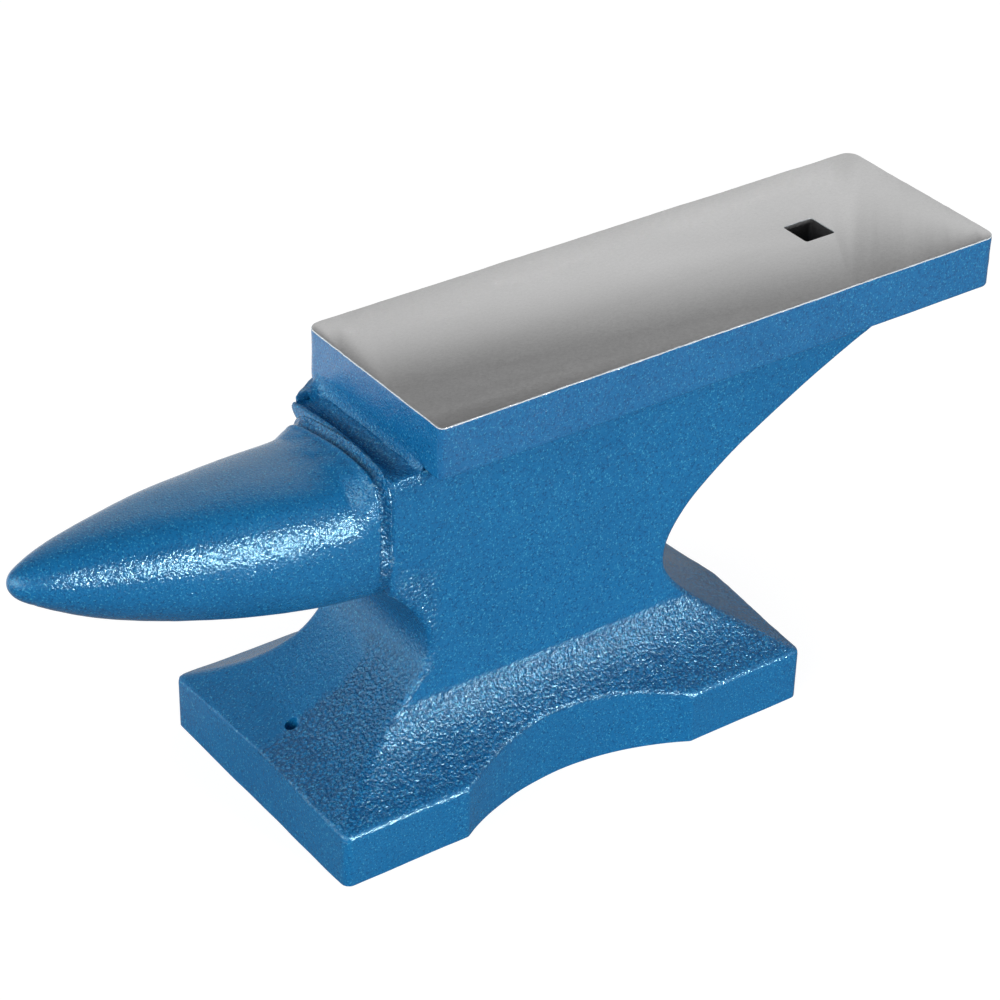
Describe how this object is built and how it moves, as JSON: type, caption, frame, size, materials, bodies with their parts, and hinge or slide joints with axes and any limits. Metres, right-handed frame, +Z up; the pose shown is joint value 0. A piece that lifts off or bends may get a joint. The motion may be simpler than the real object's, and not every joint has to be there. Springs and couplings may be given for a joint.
{
  "type": "single-horn anvil",
  "caption": "Single-horn anvil: waisted body on a flared foot, tapered round horn, ground flat face plate with a square tool hole near the heel.",
  "frame": {"origin": "centre of the foot's underside, on the plane of symmetry, midway between the foot's corners along its length", "axes": "+X towards the heel (the horn points along -X), +Y to the left side seen from the horn's tip looking at the heel, +Z up; the work face is horizontal"},
  "size_m": [0.4763, 0.1412, 0.1984],
  "materials": {
    "body_paint": "glossy blue enamel over a coarse sand-cast surface",
    "horn_paint": "glossy blue enamel over a dressed, lightly pebbled surface",
    "face_steel": "ground bare top, blue enamel on the plate's sides",
    "bead_paint": "blue enamel over a rough bead"
  },
  "bodies": {
    "root": {"body_casting": "body_paint", "horn": "horn_paint", "face_plate": "face_steel", "horn_weld": "bead_paint", "face_weld_left": "bead_paint", "face_weld_right": "bead_paint", "face_weld_front": "bead_paint"}
  },
  "joints": []
}
